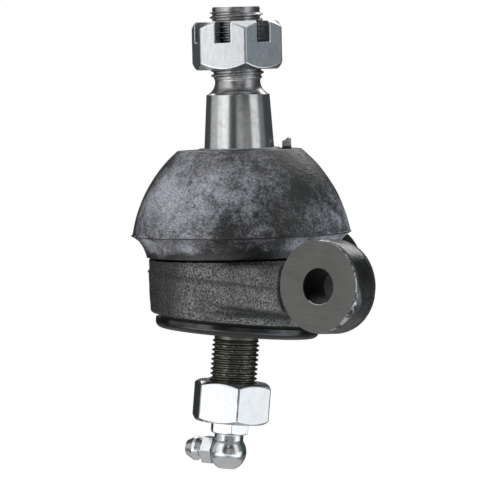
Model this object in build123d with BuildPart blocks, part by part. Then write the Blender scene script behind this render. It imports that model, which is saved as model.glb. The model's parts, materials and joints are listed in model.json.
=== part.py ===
from build123d import *
import os
from math import asin, cos, degrees, radians, sin, sqrt, tan

os.makedirs("parts", exist_ok=True)

# Suspension ball joint, in millimetres. The origin is the centre of the cover plate's lower face, on the
# stem axis. +Z runs up the stem axis towards the stud, and the two ears splay evenly about +X.

# Clearances
running_clearance = 0.1  # radial, where one piece turns inside another
push_clearance = 0.05  # radial, where a fixed piece passes through a hole
soft_clearance = 0.3  # around the rubber boot
swing_clearance = 0.6  # what the stud keeps from the mouth and the cup at full swing
shoulder_clearance = 0.3  # what the arms' tops stay below the body's shoulder
cut_margin = 1.0  # what a cutting shape runs past what it cuts

# Socket: the ball centre lies on the stem axis, and the socket axis leans from it towards -X
ball_centre_height = 19.0
socket_lean = 5.7
swing_limit = 22.0
ball_radius = 16.5
liner_wall = 1.6
liner_skirt = 4.0
liner_setback = 2.0  # degrees that the liner's edge stays below the mouth's
dome_wall = 3.7

# Housing forging
body_bottom_height = 3.7
body_bottom_radius = 23.4
body_draft = 7.5
body_edge_round = 0.8
shoulder_height = 1.5
cover_bore_depth = 4.4

# Ears, each an arm with a round boss at its end
ear_splay = 36.8
ear_reach = 42.7
ear_height = 16.4
ear_face_offset = 24.9
ear_thickness = 9.6
ear_radius = 12.2
ear_edge_round = 1.6
pad_radius = 11.6
pad_height = 0.6
ear_hole_radius = 4.5
arm_bottom_height = 8.0
arm_back_inset = 0.8
arm_front_inset = 0.17
arm_edge_round = 2.0
arm_joint_round = 3.5

# Cover plate, its seal and the threaded stem
cover_radius = 21.9
cover_thickness = 2.75
cover_edge_round = 1.7
spigot_radius = 19.0
spigot_wall = 2.6
spigot_height = 3.8
seal_width = 1.5
stem_radius = 6.35
stem_end_recess = 0.2
stem_end_chamfer = 0.6
stem_head_radius = 9.0
stem_head_thickness = 2.25
grease_passage_radius = 1.5

# Lower seat: a sprung cup under the stud's pivot
pivot_radius = 10.0
cup_wall = 2.0
cup_radius = 8.5
cup_lap_angle = 36.0
disc_spring_thickness = 0.9
disc_spring_inner_radius = 3.5
disc_spring_radius = 8.0

# Swivel ring and ball stud, heights above the ball centre along the socket axis
ring_top_height = 13.0
ring_seat_depth = 1.0
stud_head_radius = 12.5
stud_head_thickness = 3.0
neck_radius = 7.5
neck_top_height = 19.0
taper_start_height = 26.8
taper_top_height = 44.8
taper_top_radius = 8.45
taper_rate = 1 / 8
waist_radius = 6.2
waist_flare = 2.2
thread_start_height = 48.8
stud_end_height = 68.2
stud_thread_radius = 7.14
stud_end_chamfer = 1.2

# Dust boot and its moulded-in collar, heights above the ball centre along the socket axis
lip_radius = 25.5
equator_height = 7.6
equator_radius = 29.2
crown_height = 19.7
crown_radius = 25.0
boot_top_height = 30.0
boot_top_radius = 16.6
boot_wall = 2.6
flank_height = 4.9  # where the hollow flank below the rim is measured
flank_radius = 26.5
collar_radius = 13.4
collar_thickness = 1.0
nub_reach = 12.7
nub_width = 2.6
nub_length = 4.0
nub_height = 3.2
nub_sink = 1.0
nub_draft = 6.0

# Nuts: width across flats, height, and how far the middle face turns from -Y towards -X
castle_across = 22.2
castle_height = 12.9
castle_start_height = 51.4
castle_slot_width = 4.2
castle_slot_depth = 5.7
castle_turn = 20.1
castle_chamfer_angle = 42.0
castle_chamfer_share = 0.97
stem_nut_across = 19.05
stem_nut_height = 11.0
stem_nut_start_depth = 13.2
stem_nut_turn = 21.1
hex_chamfer_angle = 30.0
hex_chamfer_share = 0.95

# Grease fitting: an elbow with a ball body, and a side nipple with a sprung check ball
elbow_across = 9.5
elbow_hex_height = 3.1
elbow_turn = 24.5
elbow_shank_radius = 3.2
elbow_shank_length = 6.5
elbow_ball_radius = 5.0
elbow_ball_depth = 32.2
elbow_flat_drop = 4.5  # from the ball's centre down to the flat
elbow_neck_radius = 3.9
nipple_turn = 20.8
nipple_across = 7.0
nipple_hex_start = 3.7
nipple_hex_end = 6.6
nipple_shank_radius = 2.4
nipple_neck_radius = 2.35
nipple_neck_end = 7.3
nipple_head_radius = 3.25
nipple_head_start = 8.4
nipple_head_end = 9.3
nipple_tip_radius = 1.95
nipple_tip = 11.6
nipple_bore_radius = 1.35
nipple_mouth_radius = 0.8
nipple_mouth_depth = 0.5
check_ball_radius = 1.1
check_spring_radius = 0.95
check_wire_radius = 0.14
check_spring_turns = 4
check_spring_seat = 5.4

# Where the dimensions above put the pieces
liner_inner_radius = ball_radius + running_clearance
liner_outer_radius = liner_inner_radius + liner_wall
seat_radius = liner_outer_radius + running_clearance
dome_radius = seat_radius + dome_wall
mouth_half_angle = swing_limit + degrees(asin((neck_radius + swing_clearance) / seat_radius))
mouth_elevation = 90 - mouth_half_angle
cover_bore_radius = spigot_radius + push_clearance
lip_height = shoulder_height + soft_clearance
stem_head_top = cover_thickness + stem_head_thickness
cup_seat_radius = pivot_radius + running_clearance
cup_bottom_height = ball_centre_height - cup_seat_radius - cup_wall
taper_start_radius = taper_top_radius + (taper_top_height - taper_start_height) * taper_rate / 2
stem_nut_end_depth = stem_nut_start_depth + stem_nut_height
stem_length = stem_nut_end_depth - stem_end_recess

socket = Plane(
    origin=(0, 0, ball_centre_height),
    x_dir=(cos(radians(socket_lean)), 0, sin(radians(socket_lean))),
    z_dir=(-sin(radians(socket_lean)), 0, cos(radians(socket_lean))),
)
nipple_frame = Plane(
    origin=(0, 0, -elbow_ball_depth),
    x_dir=(0, 0, 1),
    z_dir=(-cos(radians(nipple_turn)), sin(radians(nipple_turn)), 0),
)


def section_of(plane):
    """The plane through a piece's axis: profile points on it are (radius, height along the axis)."""
    return Plane(origin=plane.origin, x_dir=plane.x_dir, z_dir=-plane.y_dir)


def axis_of(plane):
    return Axis(plane.origin, plane.z_dir)


def on_sphere(radius, elevation):
    """The profile point of a sphere at this angle above its equator, in degrees."""
    return (radius * cos(radians(elevation)), radius * sin(radians(elevation)))


def half_width(radius, height):
    """The radius of a sphere's slice at this height from its centre."""
    return sqrt(radius**2 - height**2)


def faced(plane, turn):
    """The plane turned in itself until its x axis points along -Y and this far on towards -X."""
    angle = radians(-90 - turn)
    x_dir = plane.x_dir * cos(angle) + plane.y_dir * sin(angle)
    return Plane(origin=plane.origin, x_dir=x_dir, z_dir=plane.z_dir)


def taper_radius_at(height):
    return taper_top_radius + (taper_top_height - height) * taper_rate / 2


def chamfered_hex(across, height, ends, share=hex_chamfer_share, angle=hex_chamfer_angle):
    """The turned envelope of a hexagonal prism: its corners run out in a cone at the ends listed."""
    corner = across / sqrt(3)
    rim = across / 2 * share
    drop = (corner - rim) * tan(radians(angle))
    points = [(0, 0)]
    points += [(rim, 0), (corner, drop)] if "bottom" in ends else [(corner, 0)]
    points += [(corner, height - drop), (rim, height)] if "top" in ends else [(corner, height)]
    points += [(0, height)]
    return points


stem_section = section_of(Plane.XY)
socket_section = section_of(socket)
nipple_section = section_of(nipple_frame)
socket_axis = axis_of(socket)
nipple_axis = axis_of(nipple_frame)

# One arm with its ear, on a plane whose x axis runs out along the arm and whose normal is the ear's
ear_direction = radians(ear_splay)
ear_plane = Plane(
    origin=(0, 0, 0),
    x_dir=(cos(ear_direction), -sin(ear_direction), 0),
    z_dir=(-sin(ear_direction), -cos(ear_direction), 0),
)
ear_back_offset = ear_face_offset - ear_thickness
arm_front_offset = ear_face_offset - pad_height - arm_front_inset
arm_back_offset = ear_back_offset + arm_back_inset
# The arms' tops run beside the leaning shoulder, closest to it along their front faces
lean_rise = tan(radians(socket_lean))
shoulder_top = ball_centre_height + shoulder_height / cos(radians(socket_lean))
arm_top_start = shoulder_top - arm_front_offset * sin(ear_direction) * lean_rise - shoulder_clearance
arm_top_end = arm_top_start + ear_reach * cos(ear_direction) * lean_rise

ear_frame = Plane(
    origin=ear_plane.from_local_coords((ear_reach, ear_height, 0)),
    x_dir=ear_plane.x_dir,
    z_dir=ear_plane.z_dir,
)

with BuildPart() as ear_arm:
    with BuildSketch(ear_plane.offset(arm_back_offset)) as arm_outline:
        Polygon(
            (0, arm_bottom_height),
            (ear_reach, arm_bottom_height),
            (ear_reach, arm_top_end),
            (0, arm_top_start),
            align=None,
        )
        with Locations((ear_reach, ear_height)):
            Circle(ear_radius - arm_edge_round / 2)
        # The two inner corners where the arm meets the ear
        fillet(arm_outline.vertices().sort_by(Axis.X)[2:4], arm_joint_round)
    extrude(amount=arm_front_offset - arm_back_offset)
    arm_rims = ear_arm.faces().filter_by(Axis(ear_plane.origin, ear_plane.z_dir)).edges()
    arm_root = ear_arm.faces().sort_by(Axis(ear_plane.origin, ear_plane.x_dir))[0].edges()
    fillet([e for e in arm_rims if e not in arm_root], arm_edge_round)
    # Round boss, rounded at the back and cut off flat by the machined face
    with BuildSketch(section_of(ear_frame)):
        with BuildLine():
            Polyline(
                (0, ear_face_offset),
                (pad_radius, ear_face_offset),
                (ear_radius, ear_face_offset - pad_height),
                (ear_radius, ear_back_offset + ear_edge_round),
            )
            RadiusArc(
                (ear_radius, ear_back_offset + ear_edge_round),
                (ear_radius - ear_edge_round, ear_back_offset),
                ear_edge_round,
            )
            Polyline(
                (ear_radius - ear_edge_round, ear_back_offset),
                (0, ear_back_offset),
                (0, ear_face_offset),
            )
        make_face()
    revolve(axis=axis_of(ear_frame))
    # Bolt hole
    with BuildSketch(ear_frame.offset(ear_face_offset + cut_margin)):
        Circle(ear_hole_radius)
    extrude(amount=-ear_thickness - 2 * cut_margin, mode=Mode.SUBTRACT)

with BuildPart() as housing:
    # Drafted cup about the stem axis, cut off square to the socket axis at the boot's shoulder
    cup_height = shoulder_top + (body_bottom_radius + dome_wall) * lean_rise + cut_margin
    with BuildSketch(stem_section):
        with BuildLine():
            Polyline(
                (0, body_bottom_height),
                (body_bottom_radius, body_bottom_height),
                (
                    body_bottom_radius + (cup_height - body_bottom_height) * tan(radians(body_draft)),
                    cup_height,
                ),
                (0, cup_height),
                close=True,
            )
        make_face()
    revolve(axis=Axis.Z)
    fillet(housing.edges().group_by(Axis.Z)[0], body_edge_round)
    split(bisect_by=socket.offset(shoulder_height), keep=Keep.BOTTOM)
    # Two splayed arms
    add(ear_arm.part)
    mirror(ear_arm.part, about=Plane.XZ)
    # Dome over the ball, concentric with it
    with BuildSketch(socket_section):
        with BuildLine():
            Line((0, 0), on_sphere(dome_radius, 0))
            ThreePointArc(
                on_sphere(dome_radius, 0),
                on_sphere(dome_radius, mouth_elevation / 2),
                on_sphere(dome_radius, mouth_elevation),
            )
            Line(on_sphere(dome_radius, mouth_elevation), (0, 0))
        make_face()
    revolve(axis=socket_axis)
    # Seat for the liner, open at the mouth, with a straight bore below the ball's equator
    bore_depth = ball_centre_height - body_bottom_height - cover_bore_depth
    with BuildSketch(socket_section):
        with BuildLine():
            Polyline(
                (0, -bore_depth),
                (seat_radius, -bore_depth),
                (seat_radius, 0),
            )
            ThreePointArc(
                (seat_radius, 0),
                on_sphere(seat_radius, mouth_elevation / 2),
                on_sphere(seat_radius, mouth_elevation),
            )
            Polyline(
                on_sphere(seat_radius, mouth_elevation),
                on_sphere(dome_radius + cut_margin, mouth_elevation),
                (0, dome_radius + cut_margin),
                (0, -bore_depth),
            )
        make_face()
    revolve(axis=socket_axis, mode=Mode.SUBTRACT)
    # Bore for the cover's spigot, about the stem axis
    with BuildSketch(Plane.XY.offset(body_bottom_height)):
        Circle(cover_bore_radius)
    extrude(amount=cover_bore_depth, mode=Mode.SUBTRACT)
    throat_radius = ball_radius + 2 * running_clearance
    with BuildSketch(Plane.XY.offset(body_bottom_height)):
        Circle(throat_radius)
    extrude(amount=ball_centre_height - body_bottom_height, mode=Mode.SUBTRACT)

with BuildPart() as bearing_liner:
    liner_elevation = mouth_elevation - liner_setback
    with BuildSketch(socket_section):
        with BuildLine():
            Polyline(
                on_sphere(liner_inner_radius, liner_elevation),
                on_sphere(liner_outer_radius, liner_elevation),
            )
            ThreePointArc(
                on_sphere(liner_outer_radius, liner_elevation),
                on_sphere(liner_outer_radius, liner_elevation / 2),
                (liner_outer_radius, 0),
            )
            Polyline(
                (liner_outer_radius, 0),
                (liner_outer_radius, -liner_skirt),
                (liner_inner_radius, -liner_skirt),
                (liner_inner_radius, 0),
            )
            ThreePointArc(
                (liner_inner_radius, 0),
                on_sphere(liner_inner_radius, liner_elevation / 2),
                on_sphere(liner_inner_radius, liner_elevation),
            )
        make_face()
    revolve(axis=socket_axis)

with BuildPart() as swivel_ring:
    ring_bore_radius = neck_radius + running_clearance
    ring_low = degrees(asin(-ring_seat_depth / ball_radius))
    ring_high = degrees(asin(ring_top_height / ball_radius))
    with BuildSketch(socket_section):
        with BuildLine():
            Polyline(
                on_sphere(ball_radius, ring_high),
                (ring_bore_radius, ring_top_height),
                (ring_bore_radius, -ring_seat_depth),
                on_sphere(ball_radius, ring_low),
            )
            ThreePointArc(
                on_sphere(ball_radius, ring_low),
                on_sphere(ball_radius, (ring_low + ring_high) / 2),
                on_sphere(ball_radius, ring_high),
            )
        make_face()
    revolve(axis=socket_axis)

with BuildPart() as ball_stud:
    head_top = -ring_seat_depth - running_clearance
    head_bottom = head_top - stud_head_thickness
    pivot_elevation = degrees(asin(head_bottom / pivot_radius))
    relief_radius = (neck_radius + taper_start_radius) / 2
    relief_height = (neck_top_height + taper_start_height) / 2
    with BuildSketch(socket_section):
        with BuildLine():
            ThreePointArc(
                (0, -pivot_radius),
                on_sphere(pivot_radius, (pivot_elevation - 90) / 2),
                on_sphere(pivot_radius, pivot_elevation),
            )
            Polyline(
                on_sphere(pivot_radius, pivot_elevation),
                (stud_head_radius, head_bottom),
                (stud_head_radius, head_top),
                (neck_radius, head_top),
                (neck_radius, neck_top_height),
            )
            Spline(
                (neck_radius, neck_top_height),
                (relief_radius, relief_height),
                (taper_start_radius, taper_start_height),
                tangents=[(0, 1), (-taper_rate / 2, 1)],
            )
            Polyline(
                (taper_start_radius, taper_start_height),
                (taper_top_radius, taper_top_height),
            )
            ThreePointArc(
                (taper_top_radius, taper_top_height),
                (
                    taper_top_radius - waist_flare * sin(radians(45)),
                    taper_top_height + waist_flare * (1 - cos(radians(45))),
                ),
                (taper_top_radius - waist_flare, taper_top_height + waist_flare),
            )
            Polyline(
                (taper_top_radius - waist_flare, taper_top_height + waist_flare),
                (waist_radius, thread_start_height),
                (stud_thread_radius, thread_start_height + stud_thread_radius - waist_radius),
                (stud_thread_radius, stud_end_height - stud_end_chamfer),
                (stud_thread_radius - stud_end_chamfer, stud_end_height),
                (0, stud_end_height),
                (0, -pivot_radius),
            )
        make_face()
    revolve(axis=socket_axis)

with BuildPart() as castle_nut:
    castle_plane = faced(socket.offset(castle_start_height), castle_turn)
    castle_corners = 2 * castle_across / sqrt(3)
    with BuildSketch(castle_plane):
        RegularPolygon(castle_across / 2, 6, major_radius=False, rotation=30)
        Circle(stud_thread_radius + push_clearance, mode=Mode.SUBTRACT)
    extrude(amount=castle_height)
    with BuildSketch(section_of(castle_plane)):
        with BuildLine():
            Polyline(
                chamfered_hex(
                    castle_across,
                    castle_height,
                    ["bottom", "top"],
                    castle_chamfer_share,
                    castle_chamfer_angle,
                ),
                close=True,
            )
        make_face()
    revolve(axis=socket_axis, mode=Mode.INTERSECT)
    with BuildSketch(castle_plane.offset(castle_height - castle_slot_depth)):
        for turn in (0, 60, 120):
            Rectangle(castle_corners + cut_margin, castle_slot_width, rotation=turn)
    extrude(amount=castle_slot_depth, mode=Mode.SUBTRACT)

with BuildPart() as dust_boot:
    crown = ThreePointArc(
        (equator_radius, equator_height),
        (crown_radius, crown_height),
        (boot_top_radius, boot_top_height),
    )
    crown_middle = crown.arc_center
    boot_inner_top = boot_top_height - boot_wall
    inner_crown_radius = crown.radius - boot_wall
    inner_equator = crown_middle + (Vector(equator_radius, equator_height) - crown_middle).normalized() * (
        inner_crown_radius
    )
    inner_crown = crown_middle + (Vector(crown_radius, crown_height) - crown_middle).normalized() * (
        inner_crown_radius
    )
    inner_shoulder = Vector(
        crown_middle.X + sqrt(inner_crown_radius**2 - (boot_inner_top - crown_middle.Y) ** 2),
        boot_inner_top,
    )
    with BuildSketch(socket_section):
        with BuildLine():
            Polyline(
                inner_equator,
                (lip_radius - boot_wall, lip_height),
                (lip_radius, lip_height),
            )
            ThreePointArc(
                (lip_radius, lip_height),
                (flank_radius, flank_height),
                (equator_radius, equator_height),
            )
            ThreePointArc(
                (equator_radius, equator_height),
                (crown_radius, crown_height),
                (boot_top_radius, boot_top_height),
            )
            Polyline(
                (boot_top_radius, boot_top_height),
                (taper_radius_at(boot_top_height) + soft_clearance, boot_top_height),
                (taper_radius_at(boot_inner_top) + soft_clearance, boot_inner_top),
                inner_shoulder,
            )
            ThreePointArc(inner_shoulder, inner_crown, inner_equator)
        make_face()
    revolve(axis=socket_axis)
    # Moulding nub on the flat top
    with BuildSketch(socket.offset(boot_top_height - nub_sink)):
        with Locations((nub_reach, 0)):
            Rectangle(nub_width, nub_length)
    extrude(amount=nub_sink + nub_height, taper=nub_draft)

with BuildPart() as boot_collar:
    with BuildSketch(socket.offset(boot_inner_top - collar_thickness)):
        Circle(collar_radius)
        Circle(taper_radius_at(boot_inner_top - collar_thickness) + soft_clearance, mode=Mode.SUBTRACT)
    extrude(amount=collar_thickness)

with BuildPart() as pressure_cup:
    cup_rim = on_sphere(cup_seat_radius, cup_lap_angle - 90)
    cup_rim = (cup_rim[0], ball_centre_height + cup_rim[1])
    cup_shoulder = cup_rim[1] - (cup_radius - cup_rim[0]) * tan(radians(swing_limit + socket_lean))
    cup_hole = half_width(cup_seat_radius, grease_passage_radius)
    cup_hole_top = ball_centre_height - cup_hole
    cup_middle = on_sphere(cup_seat_radius, cup_lap_angle / 2 - 90)
    with BuildSketch(stem_section):
        with BuildLine():
            Polyline(
                (grease_passage_radius, cup_hole_top),
                (grease_passage_radius, cup_bottom_height),
                (cup_radius, cup_bottom_height),
                (cup_radius, cup_shoulder),
                cup_rim,
            )
            ThreePointArc(
                cup_rim,
                (cup_middle[0], ball_centre_height + cup_middle[1]),
                (grease_passage_radius, cup_hole_top),
            )
        make_face()
    revolve(axis=Axis.Z)

with BuildPart() as disc_spring:
    with BuildSketch(stem_section):
        with BuildLine():
            Polyline(
                (disc_spring_inner_radius, stem_head_top),
                (disc_spring_radius, cup_bottom_height - disc_spring_thickness),
                (disc_spring_radius, cup_bottom_height),
                (disc_spring_inner_radius, stem_head_top + disc_spring_thickness),
                close=True,
            )
        make_face()
    revolve(axis=Axis.Z)

with BuildPart() as cover_plate:
    with BuildSketch(Plane.XY):
        Circle(cover_radius)
    extrude(amount=cover_thickness)
    fillet(cover_plate.edges().group_by(Axis.Z)[0], cover_edge_round)
    with BuildSketch(Plane.XY.offset(cover_thickness)):
        Circle(spigot_radius)
        Circle(spigot_radius - spigot_wall, mode=Mode.SUBTRACT)
    extrude(amount=spigot_height)
    with BuildSketch(Plane.XY):
        Circle(stem_radius + push_clearance)
    extrude(amount=cover_thickness, mode=Mode.SUBTRACT)

with BuildPart() as cover_seal:
    with BuildSketch(Plane.XY.offset(cover_thickness)):
        Circle(spigot_radius + push_clearance + seal_width)
        Circle(spigot_radius + push_clearance, mode=Mode.SUBTRACT)
    extrude(amount=body_bottom_height - cover_thickness)

with BuildPart() as threaded_stem:
    with BuildSketch(Plane.XY.offset(-stem_length)):
        Circle(stem_radius)
    extrude(amount=stem_length + cover_thickness)
    chamfer(threaded_stem.edges().group_by(Axis.Z)[0], stem_end_chamfer)
    with BuildSketch(Plane.XY.offset(cover_thickness)):
        Circle(stem_head_radius)
    extrude(amount=stem_head_thickness)
    with BuildSketch(Plane.XY.offset(-stem_length)):
        Circle(grease_passage_radius)
    extrude(amount=stem_length + stem_head_top, mode=Mode.SUBTRACT)
    with BuildSketch(Plane.XY.offset(-stem_length)):
        Circle(elbow_shank_radius + push_clearance)
    extrude(amount=elbow_shank_length + cut_margin, mode=Mode.SUBTRACT)

with BuildPart() as stem_nut:
    nut_plane = faced(Plane.XY.offset(-stem_nut_end_depth), stem_nut_turn)
    with BuildSketch(nut_plane):
        RegularPolygon(stem_nut_across / 2, 6, major_radius=False, rotation=30)
        Circle(stem_radius + push_clearance, mode=Mode.SUBTRACT)
    extrude(amount=stem_nut_height)
    with BuildSketch(section_of(nut_plane)):
        with BuildLine():
            Polyline(chamfered_hex(stem_nut_across, stem_nut_height, ["bottom", "top"]), close=True)
        make_face()
    revolve(axis=Axis.Z, mode=Mode.INTERSECT)

with BuildPart() as grease_elbow:
    elbow_hex_bottom = -stem_nut_end_depth - elbow_hex_height
    elbow_plane = faced(Plane.XY.offset(elbow_hex_bottom), elbow_turn)
    with BuildSketch(elbow_plane):
        RegularPolygon(elbow_across / 2, 6, major_radius=False, rotation=30)
    extrude(amount=elbow_hex_height)
    with BuildSketch(section_of(elbow_plane)):
        with BuildLine():
            Polyline(chamfered_hex(elbow_across, elbow_hex_height, ["bottom"]), close=True)
        make_face()
    revolve(axis=Axis.Z, mode=Mode.INTERSECT)
    with BuildSketch(Plane.XY.offset(elbow_hex_bottom + elbow_hex_height)):
        Circle(elbow_shank_radius)
    extrude(amount=elbow_shank_length)
    # Ball body, flattened below, with a short neck up to the hexagon
    with BuildSketch(Plane.XY.offset(-elbow_ball_depth)):
        Circle(elbow_neck_radius)
    extrude(amount=elbow_ball_depth + elbow_hex_bottom)
    with Locations((0, 0, -elbow_ball_depth)):
        Sphere(elbow_ball_radius)
    split(bisect_by=Plane.XY.offset(-elbow_ball_depth - elbow_flat_drop), keep=Keep.TOP)
    # Spot face and port for the nipple, and the grease passages
    with BuildSketch(nipple_frame.offset(nipple_hex_start)):
        Circle(nipple_across / sqrt(3) + push_clearance)
    extrude(amount=elbow_ball_radius, mode=Mode.SUBTRACT)
    with BuildSketch(nipple_frame):
        Circle(nipple_shank_radius + push_clearance)
    extrude(amount=elbow_ball_radius + cut_margin, mode=Mode.SUBTRACT)
    with BuildSketch(Plane.XY.offset(-elbow_ball_depth)):
        Circle(grease_passage_radius)
    extrude(amount=elbow_ball_depth, mode=Mode.SUBTRACT)

with BuildPart() as grease_nipple:
    with BuildSketch(nipple_frame.offset(nipple_hex_start)):
        RegularPolygon(nipple_across / 2, 6, major_radius=False, rotation=30)
    extrude(amount=nipple_hex_end - nipple_hex_start)
    with BuildSketch(nipple_section):
        with BuildLine():
            Polyline(
                (0, grease_passage_radius),
                (nipple_shank_radius, grease_passage_radius),
                (nipple_shank_radius, nipple_hex_start),
                (nipple_neck_radius, nipple_hex_end),
                (nipple_neck_radius, nipple_neck_end),
                (nipple_head_radius, nipple_head_start),
                (nipple_head_radius, nipple_head_end),
                (nipple_tip_radius, nipple_tip),
                (0, nipple_tip),
                close=True,
            )
        make_face()
    revolve(axis=nipple_axis)
    # Spring bore with a conical seat that closes down to the mouth
    seat_slope = nipple_bore_radius - nipple_mouth_radius
    with BuildSketch(nipple_section):
        with BuildLine():
            Polyline(
                (0, nipple_tip),
                (nipple_mouth_radius, nipple_tip),
                (nipple_mouth_radius, nipple_tip - nipple_mouth_depth),
                (nipple_bore_radius, nipple_tip - nipple_mouth_depth - seat_slope),
                (nipple_bore_radius, check_spring_seat),
                (nipple_mouth_radius, check_spring_seat),
                (nipple_mouth_radius, grease_passage_radius),
                (0, grease_passage_radius),
                close=True,
            )
        make_face()
    revolve(axis=nipple_axis, mode=Mode.SUBTRACT)

# The check ball rests on the 45 degree seat, its centre this far below the top of the cone
seat_touch = check_ball_radius * sqrt(2) - nipple_mouth_radius
check_ball_place = nipple_tip - nipple_mouth_depth - seat_touch - running_clearance
with BuildPart() as check_ball:
    with Locations(nipple_frame.offset(check_ball_place)):
        Sphere(check_ball_radius)

with BuildPart() as check_spring:
    spring_end = check_ball_place - half_width(check_ball_radius, check_spring_radius)
    spring_length = spring_end - check_spring_seat - 2 * check_wire_radius - running_clearance
    with BuildLine() as coil:
        Helix(
            pitch=spring_length / check_spring_turns,
            height=spring_length,
            radius=check_spring_radius,
            center=nipple_frame.offset(check_spring_seat + check_wire_radius).origin,
            direction=nipple_frame.z_dir,
        )
    with BuildSketch(Plane(coil.line @ 0, z_dir=coil.line % 0)):
        Circle(check_wire_radius)
    sweep()

housing.part.label = "housing"
bearing_liner.part.label = "bearing_liner"
swivel_ring.part.label = "swivel_ring"
ball_stud.part.label = "ball_stud"
castle_nut.part.label = "castle_nut"
dust_boot.part.label = "dust_boot"
boot_collar.part.label = "boot_collar"
pressure_cup.part.label = "pressure_cup"
disc_spring.part.label = "disc_spring"
cover_plate.part.label = "cover_plate"
cover_seal.part.label = "cover_seal"
threaded_stem.part.label = "threaded_stem"
stem_nut.part.label = "stem_nut"
grease_elbow.part.label = "grease_elbow"
grease_nipple.part.label = "grease_nipple"
check_ball.part.label = "check_ball"
check_spring.part.label = "check_spring"

export_step(housing.part, "parts/housing.step")
export_step(bearing_liner.part, "parts/bearing_liner.step")
export_step(swivel_ring.part, "parts/swivel_ring.step")
export_step(ball_stud.part, "parts/ball_stud.step")
export_step(castle_nut.part, "parts/castle_nut.step")
export_step(dust_boot.part, "parts/dust_boot.step")
export_step(boot_collar.part, "parts/boot_collar.step")
export_step(pressure_cup.part, "parts/pressure_cup.step")
export_step(disc_spring.part, "parts/disc_spring.step")
export_step(cover_plate.part, "parts/cover_plate.step")
export_step(cover_seal.part, "parts/cover_seal.step")
export_step(threaded_stem.part, "parts/threaded_stem.step")
export_step(stem_nut.part, "parts/stem_nut.step")
export_step(grease_elbow.part, "parts/grease_elbow.step")
export_step(grease_nipple.part, "parts/grease_nipple.step")
export_step(check_ball.part, "parts/check_ball.step")
export_step(check_spring.part, "parts/check_spring.step")
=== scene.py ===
import json
import math

import bmesh
import bpy
import numpy as np
from mathutils import Matrix, Vector


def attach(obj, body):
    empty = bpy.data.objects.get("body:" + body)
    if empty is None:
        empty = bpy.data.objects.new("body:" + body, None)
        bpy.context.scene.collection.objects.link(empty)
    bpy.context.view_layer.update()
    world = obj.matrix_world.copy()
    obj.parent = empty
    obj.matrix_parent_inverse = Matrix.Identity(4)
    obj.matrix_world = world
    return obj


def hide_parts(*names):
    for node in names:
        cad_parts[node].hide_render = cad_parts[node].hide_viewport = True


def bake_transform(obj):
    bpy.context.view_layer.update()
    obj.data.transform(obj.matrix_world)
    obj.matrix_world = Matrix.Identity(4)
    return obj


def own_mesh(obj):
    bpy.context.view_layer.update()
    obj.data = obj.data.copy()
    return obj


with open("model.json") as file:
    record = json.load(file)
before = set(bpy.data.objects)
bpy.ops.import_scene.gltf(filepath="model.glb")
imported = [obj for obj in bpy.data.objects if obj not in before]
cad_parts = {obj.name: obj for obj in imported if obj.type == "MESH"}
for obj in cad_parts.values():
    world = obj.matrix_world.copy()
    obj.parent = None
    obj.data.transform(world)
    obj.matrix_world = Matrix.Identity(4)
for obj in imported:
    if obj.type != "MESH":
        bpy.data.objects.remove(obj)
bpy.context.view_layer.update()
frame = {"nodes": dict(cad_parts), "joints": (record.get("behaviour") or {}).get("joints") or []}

# Lengths are in millimetres, apart from the studio's at the end, and MM takes them to metres.
MM = 0.001
JOINTS = {j["name"]: j for j in frame["joints"]}
BALL_CENTRE = Vector(JOINTS["stud_spin"]["pos_m"]) / MM
SOCKET_AXIS = Vector(JOINTS["stud_spin"]["axis"])

INCH = 25.4
STUD_PITCH = INCH / 18
STEM_PITCH = INCH / 20
STEM_RADIUS = INCH / 4
THREAD_DEPTH_SHARE = 0.56
THREAD_SEGMENTS = 160
THREAD_STEP = 0.08

EAR_SPLAY = math.radians(36.8)
EAR_REACH = 42.7
EAR_HEIGHT = 16.4
EAR_FACE_OFFSET = 24.9
EAR_THICKNESS = 9.6
EAR_RADIUS = 12.2
HOLE_RADIUS = 4.52
HOLE_CHAMFER = 0.25

# The flash trimmed off an ear's rim, in a crescent about this angle from the arm's line
TRIM_MIDDLE = math.radians(-32)
TRIM_REACH = math.radians(46)
TRIM_DEPTH = 0.9
TRIM_SLOPE = 0.27


def frame_matrix(origin, z_axis):
    """Local frame with z along z_axis and x as near to +X as it goes."""
    z = Vector(z_axis).normalized()
    y = z.cross(Vector((1, 0, 0))).normalized()
    x = y.cross(z)
    m = Matrix((x, y, z)).transposed().to_4x4()
    m.translation = origin
    return m


SOCKET = frame_matrix(BALL_CENTRE, SOCKET_AXIS)
STEM = Matrix.Identity(4)


def arm_matrix(side):
    """Local frame of an arm, from the stem's axis: x out along the arm, y up and z out of the machined face.
    side is -1 at the front."""
    x = Vector((math.cos(EAR_SPLAY), side * math.sin(EAR_SPLAY), 0))
    z = Vector((-math.sin(EAR_SPLAY), side * math.cos(EAR_SPLAY), 0))
    return Matrix((x, Vector((0, 0, 1)), z)).transposed().to_4x4()


def ear_matrix(side):
    """The arm's frame moved out to the axis of the ear's hole."""
    return arm_matrix(side) @ Matrix.Translation((EAR_REACH, EAR_HEIGHT, 0))


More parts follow.
